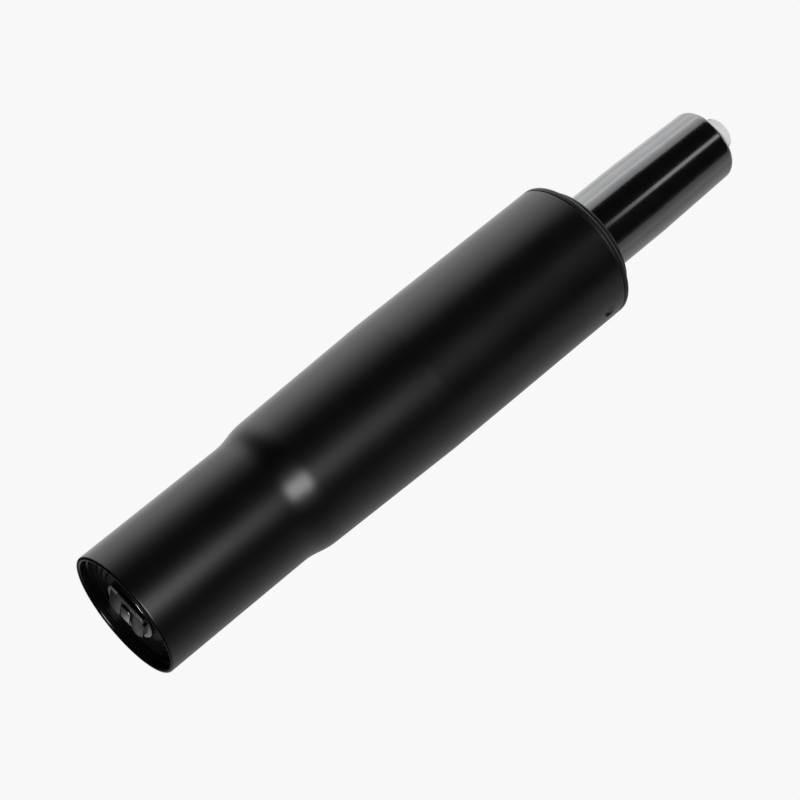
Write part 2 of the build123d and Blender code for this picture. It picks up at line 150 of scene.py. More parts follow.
# %% A finish on one shader
class Finish(Graph):
    """A material on a Principled shader."""

    def __init__(self, name, metallic=0.0, tint=(1, 1, 1)):
        self.material = bpy.data.materials.new(name)
        self.material.use_nodes = True
        super().__init__(self.material.node_tree)
        self.shader = self.tree.nodes.new("ShaderNodeBsdfPrincipled")
        self.node("OutputMaterial", Surface=Wire(self.tree, self.shader.outputs[0]))
        self.place = self.node("TexCoord", output=3)
        self.tint = tint
        self.set(Metallic=metallic)
        print("finish", name)

    def shade(self, level):
        """The finish's tint at a given lightness."""
        return (*(level * share for share in self.tint), 1.0)

    def set(self, **sockets):
        """Feeds the shader's own sockets, with wires or with constants."""
        for name, value in sockets.items():
            plug(self.tree, self.shader.inputs[name.replace("_", " ")], value)

    def cover(self, mask, level, rougher=0.0):
        """Lays another lightness and gloss over the finish where the mask is 1."""
        colour, roughness = (
            Wire(self.tree, self.shader.inputs[name].links[0].from_socket)
            for name in ("Base Color", "Roughness")
        )
        self.set(
            Base_Color=self.mix(mask, colour, self.shade(level)),
            Roughness=roughness + rougher * mask,
        )

    def height(self):
        """How high a place is above the bottom rim."""
        return self.node("SeparateXYZ", output=2, Vector=self.place)

    def radius(self):
        """How far a place is from the axis."""
        level = self.node("VectorMath", {"operation": "MULTIPLY"}, s0=self.place, s1=(1, 1, 0))
        return self.node("VectorMath", {"operation": "LENGTH"}, 1, s0=level)

    def noise(self, size, detail=2.0):
        """Cloudy values round 0.5, in blots of about the given size."""
        return self.node("TexNoise", Vector=self.place, Scale=1 / size, Detail=detail)

    def ring_noise(self, size, detail=2.0):
        """Noise that runs in rings round the axis, as a lathe or a polishing belt leaves it."""
        where = self.node("CombineXYZ", X=self.radius(), Z=self.height())
        return self.node("TexNoise", Vector=where, Scale=1 / size, Detail=detail)

    def edges(self, reach):
        """1 at edges and 0 on flats: near an edge a rounded normal parts from the plain one."""
        rounded_normal = self.node("Bevel", {"samples": 8}, Radius=reach)
        plain_normal = self.node("NewGeometry", output=1)
        return self.ramp(1 - self.dot(rounded_normal, plain_normal), 0.02, 0.2)

    def bump(self, height, depth):
        """Tilts the surface as a relief of that depth would."""
        self.set(Normal=self.node("Bump", Height=height, Distance=depth))


# %% [markdown]
# ## Powder coat
# The column is a steel tube under a black powder coat: plastic dust, baked until it flows.
# It sets with a satin gloss and a faint orange-peel texture. A half-millimetre noise makes
# the peel as a shallow relief. A wider one clouds the gloss a little, because the coat is
# never quite the same thickness. Charged powder hardly reaches into the open foot, so the
# coat in there is thin and smooth.

# %% Powder coat
powder_coat = Finish("powder_coat", tint=(1, 1, 1.03))
peel = powder_coat.noise(0.5 * MM, detail=1.0)
thickness = powder_coat.noise(14 * MM)
powder_coat.set(
    Base_Color=powder_coat.mix(thickness, powder_coat.shade(0.0002), powder_coat.shade(0.0006)),
    Roughness=0.285 + 0.06 * thickness,
)
in_foot = 1 - powder_coat.ramp(powder_coat.radius(), 20.6 * MM, 20.9 * MM)
powder_coat.cover(in_foot, 0.004, rougher=-0.13)
powder_coat.bump(peel, 0.004 * MM)

# %% [markdown]
# ## Black chrome
# The stem is ground, polished and plated with a dark chrome. A dark base colour on a full
# metal gives mirror reflections that stay dim. Handling leaves a thin, uneven film, which
# a cloudy noise puts into the gloss. The polishing belt ran round the tube, so the finest
# marks are rings.

# %% Black chrome
black_chrome = Finish("black_chrome", metallic=1.0, tint=(0.99, 1.0, 1.02))
film = black_chrome.noise(7 * MM, detail=5.0)
belt = black_chrome.ring_noise(0.12 * MM)
black_chrome.set(
    Base_Color=black_chrome.mix(film, black_chrome.shade(0.205), black_chrome.shade(0.25)),
    Roughness=0.105 + 0.05 * film + 0.02 * belt,
)

# %% [markdown]
# ## Plastics and rubber
# The guide bush is black acetal from a spark-eroded mould, so its skin is a fine matt
# grain. The button is a pale, slightly glossier moulding. Rings and seals are natural
# nylon and black rubber with a dusty bloom.


# %% Moulded plastic and rubber
def moulded(name, level, roughness, grain, depth, tint=(1, 1, 1)):
    """A moulding: an even skin with a fine grain, and a gloss that drifts with its flow."""
    made = Finish(name, tint=tint)
    flow = made.noise(6 * MM)
    skin = made.noise(grain, detail=1.0)
    made.set(
        Base_Color=made.mix(flow, made.shade(0.93 * level), made.shade(1.07 * level)),
        Roughness=roughness * 0.88 + roughness * 0.24 * flow,
    )
    made.bump(skin, depth)
    return made


acetal = moulded("acetal", 0.006, 0.42, grain=0.18 * MM, depth=0.004 * MM)
acetal.set(Specular_IOR_Level=0.3)
button_plastic = moulded(
    "button_plastic", 0.9, 0.34, grain=0.6 * MM, depth=0.003 * MM, tint=(1, 1, 0.985)
)
ring_plastic = moulded(
    "ring_plastic", 0.58, 0.5, grain=0.2 * MM, depth=0.004 * MM, tint=(1, 0.97, 0.87)
)
rubber = moulded("rubber", 0.015, 0.62, grain=0.12 * MM, depth=0.006 * MM)

# %% [markdown]
# ## Bare and coated metals
# Turned and ground steel keeps the rings of its tool, so its relief and gloss follow the
# ring noise. The pressed end plate has a thin dark primer over those rings. The clip is
# spring steel in a black oxide, rubbed bright along its edges, and the edge mask does the
# rubbing.


# %% Turned metal
def turned(name, level, roughness, pitch, tint=(1, 1, 1)):
    """Bare metal from a lathe or a grinder, with rings of the given pitch."""
    made = Finish(name, metallic=1.0, tint=tint)
    rings = made.ring_noise(pitch, detail=3.0)
    stain = made.noise(5 * MM, detail=3.0)
    made.set(
        Base_Color=made.mix(stain, made.shade(0.9 * level), made.shade(1.08 * level)),
        Roughness=roughness * 0.8 + roughness * 0.3 * rings + roughness * 0.15 * stain,
    )
    made.bump(rings, 0.004 * MM)
    return made


ground_steel = turned("ground_steel", 0.55, 0.26, pitch=0.10 * MM)
drawn_steel = turned("drawn_steel", 0.5, 0.33, pitch=0.25 * MM)
turned_aluminium = turned("turned_aluminium", 0.72, 0.3, pitch=0.2 * MM, tint=(0.99, 1, 1.01))
ball_steel = turned("ball_steel", 0.72, 0.08, pitch=0.6 * MM)
hard_chrome = turned("hard_chrome", 0.555, 0.24, pitch=0.12 * MM)
cage_brass = turned("cage_brass", 0.62, 0.3, pitch=0.3 * MM, tint=(1.1, 0.86, 0.42))


# %% Pressed and oxidised steel
def oxidised(name, level, worn_level, roughness):
    """Dark coated steel: blotchy on its flats and rubbed towards bare metal at its edges."""
    made = Finish(name, metallic=1.0)
    blotch = made.noise(1.6 * MM, detail=4.0)
    flat = made.mix(blotch, made.shade(0.8 * level), made.shade(1.2 * level))
    worn = made.edges(0.14 * MM) * made.ramp(blotch, 0.3, 0.6)
    made.set(
        Base_Color=made.mix(worn, flat, made.shade(worn_level)),
        Roughness=roughness + 0.08 * blotch - 0.08 * worn,
    )
    made.bump(made.noise(0.25 * MM, detail=3.0), 0.004 * MM)
    return made


black_oxide = oxidised("black_oxide", 0.045, 0.2, 0.34)
clip_steel = oxidised("clip_steel", 0.065, 0.35, 0.3)

# %% Primer
plate_primer = Finish("plate_primer")
press_rings = plate_primer.ring_noise(0.5 * MM, detail=3.0)
primer_blotch = plate_primer.noise(3 * MM, detail=3.0)
plate_primer.set(
    Base_Color=plate_primer.mix(primer_blotch, grey(0.012), grey(0.035)),
    Roughness=0.3 + 0.12 * press_rings,
    Specular_IOR_Level=0.25,
)
plate_primer.bump(press_rings, 0.02 * MM)

# %% [markdown]
# ## The rod's foot and the clip
# Two pieces in the open foot change with height. The rod is hard chrome, but the sides of
# its milled end are painted shade, for the shadow in the gap round them, and it is bright
# only where it was faced. The clip's sides are painted shade too, and its two lugs have
# been rubbed bare. Such a change at a known height needs no picture, only a ramp on the height.

# %% The rod's milled sides, darkened as painted shade
ROD_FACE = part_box("piston_rod")[0].z
MILLED_TOP = 6 * MM
rod_height = hard_chrome.height()
painted_shade_above_face = hard_chrome.ramp(rod_height, ROD_FACE + 0.08 * MM, ROD_FACE + 0.16 * MM)
painted_shade_below_pin = 1 - hard_chrome.ramp(rod_height, MILLED_TOP, MILLED_TOP + 1 * MM)
# Painted shade: the sides of the rod's milled foot are darkened to 0.012, for the shadow in the gap
# between them and the clip.
hard_chrome.cover(painted_shade_above_face * painted_shade_below_pin, 0.012)

# %% The clip's sides in painted shade, and its bare lugs
CLIP_Z = 1.0 * MM
LUG_FACE = 0.58 * MM
clip_height = clip_steel.height()
clip_painted_shade = clip_steel.ramp(clip_height, CLIP_Z + 0.06 * MM, CLIP_Z + 0.16 * MM)
rubbed = 1 - clip_steel.ramp(clip_height, LUG_FACE, LUG_FACE + 0.06 * MM)
# Painted shade: above its lower face the clip is darkened to 0.01, for the shadow in its slot and in
# the gaps round the rod's foot.
clip_steel.cover(clip_painted_shade, 0.01)
clip_steel.cover(rubbed, 0.6, rougher=0.28)

# %% Which finish each material slot of the record takes
FINISHES = {
    "column_paint": powder_coat,
    "plate_steel": plate_primer,
    "bush_plastic": acetal,
    "bearing_steel": ground_steel,
    "ball_steel": ball_steel,
    "cage_brass": cage_brass,
    "rod_chrome": hard_chrome,
    "stem_chrome": black_chrome,
    "rubber": rubber,
    "black_steel": black_oxide,
    "clip_steel": clip_steel,
    "tube_steel": drawn_steel,
    "aluminium": turned_aluminium,
    "ring_plastic": ring_plastic,
    "button_plastic": button_plastic,
}
SLOTS = {subpart["node"]: subpart["material_slot"] for subpart in record["subparts"]}
for name, slot in SLOTS.items():
    materials = frame["nodes"][name].data.materials
    materials.clear()
    materials.append(FINISHES[slot].material)
print(len(SLOTS), "CAD nodes dressed in", len(set(SLOTS.values())), "finishes")

# %% [markdown]
# ## Outlines and turning
# Most pieces of the lift are turned or drawn, so their meshes come from an outline spun
# round the axis. An outline is a list of corners: a radius, a height and how far the
# corner is rounded. No real edge is sharp, and the small roundings draw the thin lines of
# light at every rim. A ring of points a little way past each rounding keeps the flats
# beside it flat under smooth shading.


# %% Rounded outlines
def rounded(corners, steps=5):
    """The points of a closed outline with its corners rounded into arcs."""
    points = []
    for index, (radius, height, rounding) in enumerate(corners):
        corner = Vector((radius, height))
        if rounding == 0:
            points.append(corner)
            continue
        back = (Vector(corners[index - 1][:2]) - corner).normalized()
        onward = (Vector(corners[(index + 1) % len(corners)][:2]) - corner).normalized()
        half = back.angle(onward) / 2
        reach = rounding / math.tan(half)
        centre = corner + (back + onward).normalized() * (rounding / math.sin(half))
        first, last = corner + back * reach - centre, corner + onward * reach - centre
        sweep = first.angle(last)
        hold = min(0.4 * rounding, 0.2 * MM)
        points.append(centre + first + back * hold)
        for step in range(steps + 1):
            near, far = math.sin(sweep * (1 - step / steps)), math.sin(sweep * step / steps)
            points.append(centre + (first * near + last * far) / math.sin(sweep))
        points.append(centre + last + onward * hold)
    return points


# %% Turning an outline into a mesh
SIDES = 240
EVEN_TURNS = [2 * math.pi * side / SIDES for side in range(SIDES)]


def lathe(points, turns=EVEN_TURNS):
    """A mesh turned round Z from a closed outline. Points on the axis become one vertex."""
    mesh = bmesh.new()
    rings = []
    for radius, height in points:
        if radius < 1e-9:
            rings.append([mesh.verts.new((0, 0, height))] * len(turns))
            continue
        spots = [(radius * math.cos(turn), radius * math.sin(turn), height) for turn in turns]
        rings.append([mesh.verts.new(spot) for spot in spots])
    for lower, upper in zip(rings, rings[1:] + rings[:1]):
        for side in range(len(turns)):
            after = (side + 1) % len(turns)
            corners = dict.fromkeys((lower[side], lower[after], upper[after], upper[side]))
            if len(corners) > 2:
                mesh.faces.new(corners)
    bmesh.ops.recalc_face_normals(mesh, faces=mesh.faces)
    return mesh


# %% [markdown]
# ## Standing in for a CAD piece
# A finer mesh takes the place of its CAD node, rides on the same body and takes the same
# material slot, so it moves and is repainted as the solid would be.


# %% Putting a mesh in a node's place
BODIES = {node: body for body, nodes in record["behaviour"]["bodies"].items() for node in nodes}
SHARP = math.radians(32)


def stand_in(name, mesh, node):
    """Makes a piece from a mesh, in the place of a CAD node."""
    data = bpy.data.meshes.new(name)
    mesh.to_mesh(data)
    mesh.free()
    data.shade_smooth()
    data.set_sharp_from_angle(angle=SHARP)
    data.materials.append(FINISHES[SLOTS[node]].material)
    piece = bpy.data.objects.new(name, data)
    bpy.context.scene.collection.objects.link(piece)
    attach(piece, BODIES[node])
    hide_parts(node)
    print(name, "has", len(data.polygons), "faces and stands for", node)


# %% [markdown]
# ## Column
# The column starts as a 50 mm tube. Its lower end is swaged in over a mandrel: a straight
# foot, a neck shaped like a shallow S, and a slow cone that wedges in the chair's base.
# The neck follows a sine, so its slope starts at nothing and runs out into the cone's, and
# that softness is what spreads the lamp's reflection into two blots. Inside the foot a
# coined ridge holds the end plate.

# %% The column's form
column_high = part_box("column_tube")[1]
BODY_R, TUBE_TOP = column_high.x, column_high.z
FOOT_R = 22.0 * MM
WALL = 1.5 * MM
NECK_BOTTOM = 54.2 * MM
NECK_TOP = 68.4 * MM
CONE_TOP = 118.6 * MM
CONE_SLOPE = 1 / 40
RIM_ROUND = 0.6 * MM
MOUTH_ROUND = 0.35 * MM
NECK_STEPS = 28
PLATE_Z = 4.0 * MM
PLATE_R = FOOT_R - WALL
COIN_STEP = 0.4 * MM
COIN_Z = PLATE_Z - 3 * COIN_STEP


def neck(inset):
    """Corners up the neck, from the foot to the cone."""
    height = NECK_TOP - NECK_BOTTOM
    cone_share = CONE_SLOPE * height / 3
    swage = BODY_R - (CONE_TOP - NECK_TOP) * CONE_SLOPE - FOOT_R - cone_share
    corners = []
    for step in range(NECK_STEPS + 1):
        t = step / NECK_STEPS
        rise = t - math.sin(2 * math.pi * t) / (2 * math.pi)
        radius = FOOT_R + swage * rise + cone_share * t**3 - inset
        corners.append((radius, NECK_BOTTOM + height * t, 0))
    return corners


# %% [markdown]
# ## Punch marks
# Two marks near the mouth pin the bush. A leaning round punch made them: they are round
# and deep at the lower end and run out above. They are pressed into the finished mesh,
# which gets finer rings and finer turns just there. Metal flows as it is pressed and the
# coat fills corners, so the edges of a mark are soft.

# %% Where the marks are
MARK_TOP = 189.2 * MM
MARK_LENGTH = 4.4 * MM
MARK_DEPTH = 1.2 * MM
MARK_TOOL_R = 2.5 * MM
MARK_ANGLES = (math.radians(-24), math.radians(156))
MARK_MIDDLE = MARK_TOP - MARK_LENGTH + MARK_TOOL_R
MARK_WALL_SLOPE = 2.2
MARK_SOFT = 0.16 * MM
FINE = 0.16 * MM
MARK_REACH = 3.2 * MM

fine_steps = range(-round(MARK_REACH / FINE), round(MARK_REACH / FINE) + 1)
fine_rings = [(BODY_R, MARK_MIDDLE + step * FINE, 0) for step in fine_steps]
fine_turns = [angle + step * FINE / BODY_R for angle in MARK_ANGLES for step in fine_steps]


def clear_of_marks(turn):
    """Whether a turn lies outside the finely divided stretches."""
    aways = (abs(math.remainder(turn - angle, 2 * math.pi)) for angle in MARK_ANGLES)
    return min(aways) > MARK_REACH / BODY_R


apart = [turn for turn in EVEN_TURNS if clear_of_marks(turn)]
column_turns = sorted([turn % (2 * math.pi) for turn in fine_turns] + apart)
print(len(column_turns), "turns and", len(fine_rings), "fine rings")


# %% The mark's depth at a place on the column
def soft_least(first, second, width):
    """The smaller of two lengths, with a soft change from one to the other."""
    part = max(width - abs(first - second), 0) / width
    return min(first, second) - part * part * width / 4


def mark_depth(along, height):
    """How deep the surface is pressed, at a distance round the column and at a height."""
    floor = (MARK_TOP - height) * MARK_DEPTH / MARK_LENGTH
    inside = MARK_TOOL_R - math.hypot(along, height - MARK_MIDDLE)
    pressed = soft_least(floor, inside * MARK_WALL_SLOPE, 2 * MARK_SOFT)
    return -soft_least(-pressed, 0, MARK_SOFT)


def press_marks(mesh):
    """Presses both marks into the outer surface."""
    for vert in mesh.verts:
        place = vert.co
        radius = math.hypot(place.x, place.y)
        if radius < BODY_R - 0.01 * MM or abs(place.z - MARK_MIDDLE) > MARK_REACH:
            continue
        for angle in MARK_ANGLES:
            away = math.remainder(math.atan2(place.y, place.x) - angle, 2 * math.pi)
            if abs(away) * BODY_R < MARK_REACH:
                share = 1 - mark_depth(away * BODY_R, place.z) / radius
                place.x, place.y = place.x * share, place.y * share


# %% Making the column
outer_side = [
    (FOOT_R, 0, RIM_ROUND),
    *neck(0),
    (BODY_R, CONE_TOP, 90 * MM),
    *fine_rings,
    (BODY_R, TUBE_TOP, MOUTH_ROUND),
]
inner_side = [
    (PLATE_R, 0, RIM_ROUND),
    (PLATE_R, COIN_Z, 0.1 * MM),
    (PLATE_R - COIN_STEP, COIN_Z + COIN_STEP, 0.12 * MM),
    (PLATE_R - COIN_STEP, PLATE_Z, 0.05 * MM),
    (PLATE_R, PLATE_Z, 0),
    *neck(WALL),
    (BODY_R - WALL, CONE_TOP, 0),
    (BODY_R - WALL, TUBE_TOP, MOUTH_ROUND),
]
column_mesh = lathe(rounded(outer_side + inner_side[::-1]), column_turns)
press_marks(column_mesh)
stand_in("column", column_mesh, "column_tube")

# %% [markdown]
# ## End plate
# A cup pressed from sheet closes the foot and carries the thrust bearing. Ring-shaped
# beads stiffen it, and they show as fine rings beside the clip.

# %% End plate
PLATE_T = 2.5 * MM
SKIRT_TOP = 13.0 * MM
SKIRT_T = 1.8 * MM
PIN_HOLE_R = 4.05 * MM
BEADS = (13.4 * MM, 15.6 * MM, 17.8 * MM)
BEAD_HALF = 0.8 * MM
BEAD_RISE = 0.45 * MM


def beads():
    """Corners across the plate's underside, with its shallow pressed rings."""
    corners = []
    for middle in BEADS:
        for across, rise in ((-1, 0), (0, BEAD_RISE), (1, 0)):
            corners.append((middle + across * BEAD_HALF, PLATE_Z + rise, 0.5 * MM))
    return corners


plate_outline = [
    (PIN_HOLE_R, PLATE_Z, 0.2 * MM),
    *beads(),
    (PLATE_R, PLATE_Z, 0.3 * MM),
    (PLATE_R, SKIRT_TOP, 0.3 * MM),
    (PLATE_R - SKIRT_T, SKIRT_TOP, 0.3 * MM),
    (PLATE_R - SKIRT_T, PLATE_Z + PLATE_T, 1.2 * MM),
    (PIN_HOLE_R, PLATE_Z + PLATE_T, 0.2 * MM),
]
stand_in("end_cup", lathe(rounded(plate_outline)), "end_plate")

# %% [markdown]
# ## Guide bush
# The bush is one moulding. A long sleeve inside the column guides the stem, a flange
# closes the column's mouth, and a raised collar ends in a broad rounding.

# %% Guide bush
bush_low, bush_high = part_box("guide_bush")
STEM_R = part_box("pressure_tube")[1].x
BORE_R = STEM_R + 0.05 * MM
SLEEVE_R = 16.6 * MM
LAND_TOP = bush_low.z + 7 * MM
HEAD_BOTTOM = 180 * MM
FLANGE_TOP = 196.5 * MM
COLLAR_R = 21.0 * MM
COLLAR_ROUND = 1.0 * MM
RIBS = 8
RIB_T = 2.0 * MM

bush_outline = [
    (BORE_R, bush_low.z, 0.3 * MM),
    (BODY_R - WALL, bush_low.z, 0.8 * MM),
    (BODY_R - WALL, LAND_TOP, 0.3 * MM),
    (SLEEVE_R, LAND_TOP, 0.3 * MM),
    (SLEEVE_R, HEAD_BOTTOM, 0.3 * MM),
    (BODY_R - WALL, HEAD_BOTTOM, 0.3 * MM),
    (BODY_R - WALL, TUBE_TOP, 0),
    (BODY_R, TUBE_TOP, 0.45 * MM),
    (BODY_R, FLANGE_TOP, 1.1 * MM),
    (COLLAR_R, FLANGE_TOP, 0.3 * MM),
    (COLLAR_R, bush_high.z, COLLAR_ROUND),
    (BORE_R + 0.6 * MM, bush_high.z, 0.3 * MM),
    (BORE_R, bush_high.z - 0.6 * MM, 0.2 * MM),
]


def add_ribs(mesh):
    """Ribs between the sleeve and the column's wall."""
    length = HEAD_BOTTOM - LAND_TOP
    reach = BODY_R - WALL - SLEEVE_R
    for rib in range(RIBS):
        made = bmesh.ops.create_cube(mesh, size=1)["verts"]
        turn = Matrix.Rotation(2 * math.pi * (rib + 0.5) / RIBS, 4, "Z")
        seat = Matrix.Translation((SLEEVE_R + reach / 2, 0, LAND_TOP + length / 2))
        size = Matrix.Diagonal((reach, RIB_T, length, 1))
        bmesh.ops.transform(mesh, verts=made, matrix=turn @ seat @ size)


bush = lathe(rounded(bush_outline))
add_ribs(bush)
stand_in("mouth_bush", bush, "guide_bush")

# %% [markdown]
# ## Stem
# The stem is the gas spring's outer tube, 28 mm across. Both of its ends are rolled in,
# and its top is ground to a slow taper that wedges in the seat.

# %% Stem
stem_low, stem_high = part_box("pressure_tube")
TAPER_Z = 227 * MM
TAPER = math.tan(math.radians(1 + 26 / 60 + 16 / 3600))
TIP_R = STEM_R - (stem_high.z - TAPER_Z) * TAPER
TIP_LIP_R = 9 * MM
FOOT_LIP_R = 8 * MM

stem_outline = [
    (FOOT_LIP_R, stem_low.z, 0.3 * MM),
    (STEM_R, stem_low.z, 1.3 * MM),
    (STEM_R, TAPER_Z, 20 * MM),
    (TIP_R, stem_high.z, 2.2 * MM),
    (TIP_LIP_R, stem_high.z, 0.3 * MM),
    (TIP_LIP_R, stem_high.z - WALL, 0.3 * MM),
    (TIP_R - WALL, stem_high.z - WALL, 0.6 * MM),
    (STEM_R - WALL, TAPER_Z, 0),
    (STEM_R - WALL, stem_low.z + WALL, 0.4 * MM),
    (FOOT_LIP_R, stem_low.z + WALL, 0.3 * MM),
]
stand_in("stem", lathe(rounded(stem_outline)), "pressure_tube")

# %% [markdown]
# ## Button
# The release button is a moulded cap over the valve's pin. Its crown is well rounded, and
# the mould's gate has left a shallow dimple in the middle.

# %% Button
button_low, button_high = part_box("release_button")
PIN_R = 2.5 * MM
PIN_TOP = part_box("valve_pin")[1].z

button_outline = [
    (0, button_high.z - 0.15 * MM, 0),
    (0.7 * MM, button_high.z - 0.15 * MM, 0.3 * MM),
    (1.2 * MM, button_high.z, 0.3 * MM),
    (button_high.x, button_high.z, 1.1 * MM),
    (button_high.x, button_low.z, 0.3 * MM),
    (PIN_R, button_low.z, 0.2 * MM),
    (PIN_R, PIN_TOP, 0),
    (0, PIN_TOP, 0),
]
stand_in("button", lathe(rounded(button_outline)), "release_button")

# %% [markdown]
# ## Washer, clip and rod
# A washer lies under the end plate, and a stamped clip pushed into the rod's milled foot
# keeps the rod in the column. The clip is cut from its outline as a flat sheet, thickened,
# and its edges are rounded as the press leaves them.

# %% Washer
washer_low, washer_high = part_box("clip_washer")
WASHER_BORE = 4.1 * MM
WASHER_R = 10.0 * MM
washer_outline = [
    (WASHER_BORE, washer_low.z, 0.15 * MM),
    (WASHER_R, washer_low.z, 0.3 * MM),
    (WASHER_R, washer_high.z, 0.15 * MM),
    (WASHER_BORE, washer_high.z, 0.15 * MM),
]
stand_in("washer", lathe(rounded(washer_outline)), "clip_washer")

# %% Sheet pieces from an outline
CLIP_TURN = Matrix.Rotation(math.radians(-13.7), 4, "Z")


def sheet_piece(mesh, corners, bottom, top, rounding):
    """Adds a plate cut to an outline, with its edges rounded."""
    low = [mesh.verts.new((x, y, bottom)) for x, y in corners]
    face = mesh.faces.new(low)
    raised = bmesh.ops.extrude_face_region(mesh, geom=[face])["geom"]
    verts = [item for item in raised if isinstance(item, bmesh.types.BMVert)]
    bmesh.ops.translate(mesh, verts=verts, vec=(0, 0, top - bottom))
    edges = {edge for vert in low + verts for edge in vert.link_edges}
    bevel = {"segments": 3, "profile": 0.6, "affect": "EDGES", "clamp_overlap": True}
    bmesh.ops.bevel(mesh, geom=list(edges), offset=rounding, **bevel)
    bmesh.ops.recalc_face_normals(mesh, faces=mesh.faces)


# %% Clip
CLIP_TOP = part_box("clip_washer")[0].z
CLIP_BACK = -9.8 * MM
CLIP_BEND = -5.1 * MM
CLIP_DIP = 0.35 * MM
CLIP_TIP = 7.0 * MM
BAR_HALF_W = 7.05 * MM
PRONG_HALF_W = 7.7 * MM
SLOT_HALF_W = 2.7 * MM
GRIP_HALF_W = 1.6 * MM
SLOT_END = -4.2 * MM
GRIP_Z = 1.75 * MM
LUG_W = 2.8 * MM
LUG_T = 0.7 * MM
LUG_DROP = 0.35 * MM


def prong_outline(slot_half_w):
    """The prongs seen from below, either side of their slot, with the web that joins them."""
    half = [
        (BAR_HALF_W, CLIP_BEND),
        (PRONG_HALF_W, SLOT_END),
        (PRONG_HALF_W, CLIP_TIP - 2.4 * MM),
        (PRONG_HALF_W - 1.8 * MM, CLIP_TIP),
        (slot_half_w + 0.6 * MM, CLIP_TIP),
        (slot_half_w, CLIP_TIP - 1.0 * MM),
        (slot_half_w, SLOT_END),
    ]
    return half + [(-x, y) for x, y in reversed(half)]


def bend_bar(mesh, verts):
    """Bends what lies behind the bend line down, for the cross bar."""
    for vert in verts:
        past = max(CLIP_BEND - vert.co.y, 0) / (CLIP_BEND - CLIP_BACK)
        vert.co.z -= CLIP_DIP * past


clip_mesh = bmesh.new()
sheet_piece(clip_mesh, prong_outline(SLOT_HALF_W), CLIP_Z, GRIP_Z, 0.1 * MM)
sheet_piece(clip_mesh, prong_outline(GRIP_HALF_W), GRIP_Z, CLIP_TOP, 0.1 * MM)
bar = [
    (-BAR_HALF_W, CLIP_BACK),
    (BAR_HALF_W, CLIP_BACK),
    (BAR_HALF_W, CLIP_BEND),
    (-BAR_HALF_W, CLIP_BEND),
]
sheet_piece(clip_mesh, bar, CLIP_Z, CLIP_TOP, 0.08 * MM)
for side in (-1, 1):
    near, far = sorted((side * (BAR_HALF_W - LUG_W), side * BAR_HALF_W))
    back, front = CLIP_BACK, CLIP_BACK + LUG_T
    lug = [(near, back), (far, back), (far, front), (near, front)]
    sheet_piece(clip_mesh, lug, CLIP_Z - LUG_DROP, CLIP_Z + LUG_DROP, 0.3 * MM)
bend_bar(clip_mesh, clip_mesh.verts)
clip_mesh.transform(CLIP_TURN)
stand_in("clip", clip_mesh, "retaining_clip")

# %% Rod
rod_low, rod_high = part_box("piston_rod")
ROD_R = 5.0 * MM
FOOT_PIN_R = 4.0 * MM
FOOT_PIN_Z = 2.2 * MM
ROD_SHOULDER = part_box("upper_race")[1].z
PISTON_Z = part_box("piston")[0].z
SPIGOT_R = 3.5 * MM
RIVET_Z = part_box("piston_washer")[1].z
HEAD_HALF_W = 1.95 * MM
NECK_HALF_W = 1.5 * MM
FLAT_STEPS = 10

rod_outline = [
    (0, FOOT_PIN_Z, 0),
    (FOOT_PIN_R, FOOT_PIN_Z, 0.3 * MM),
    (FOOT_PIN_R, ROD_SHOULDER, 0.1 * MM),
    (ROD_R, ROD_SHOULDER, 0.2 * MM),
    (ROD_R, PISTON_Z, 0.2 * MM),
    (SPIGOT_R, PISTON_Z, 0.1 * MM),
    (SPIGOT_R, RIVET_Z, 0.1 * MM),
    (SPIGOT_R + 1.2 * MM, RIVET_Z, 0.2 * MM),
    (SPIGOT_R + 1.2 * MM, rod_high.z, 0.8 * MM),
    (0, rod_high.z, 0),
]


def between_flats(half_w):
    """The pin's outline between two milled flats: two straight sides and two round ends."""
    corner = math.acos(half_w / FOOT_PIN_R)
    turns = [corner + (math.pi - 2 * corner) * step / FLAT_STEPS for step in range(FLAT_STEPS + 1)]
    end = [(FOOT_PIN_R * math.cos(turn), FOOT_PIN_R * math.sin(turn)) for turn in turns]
    return end + [(-x, -y) for x, y in end]


foot_mesh = bmesh.new()
sheet_piece(foot_mesh, between_flats(HEAD_HALF_W), rod_low.z, GRIP_Z, 0.1 * MM)
sheet_piece(foot_mesh, between_flats(NECK_HALF_W), GRIP_Z - 0.1 * MM, FOOT_PIN_Z + 0.2 * MM, 0.05 * MM)
foot_mesh.transform(CLIP_TURN)
foot_data = bpy.data.meshes.new("rod_foot")
foot_mesh.to_mesh(foot_data)
foot_mesh.free()
rod_mesh = lathe(rounded(rod_outline))
rod_mesh.from_mesh(foot_data)
bpy.data.meshes.remove(foot_data)
stand_in("rod", rod_mesh, "piston_rod")

# %% [markdown]
# ## Camera
# The photograph is taken from below the foot, looking up along the lift, with the camera
# rolled so that the lift runs from the lower left to the upper right.

# %% Camera
LENS = 115.4
SENSOR = 36.0
AIM = Vector((2.09 * MM, 0, 114.27 * MM))
DISTANCE = 815.06 * MM
CAMERA_RISE = math.radians(-22.73)
CAMERA_ROLL = math.radians(50.84)

camera = bpy.data.objects.new("camera", bpy.data.cameras.new("camera"))
bpy.context.scene.collection.objects.link(camera)
bpy.context.scene.camera = camera
camera.data.lens = LENS
camera.data.sensor_width = SENSOR
backward = Vector((0, -math.cos(CAMERA_RISE), math.sin(CAMERA_RISE)))
upright = backward.to_track_quat("Z", "Y").to_matrix()
camera.rotation_mode = "QUATERNION"
camera.rotation_quaternion = (upright @ Matrix.Rotation(CAMERA_ROLL, 3, "Z")).to_quaternion()
camera.location = AIM + backward * DISTANCE
camera.data.clip_start = 0.01
camera.data.clip_end = 50
print("camera at", [round(v, 4) for v in camera.location])

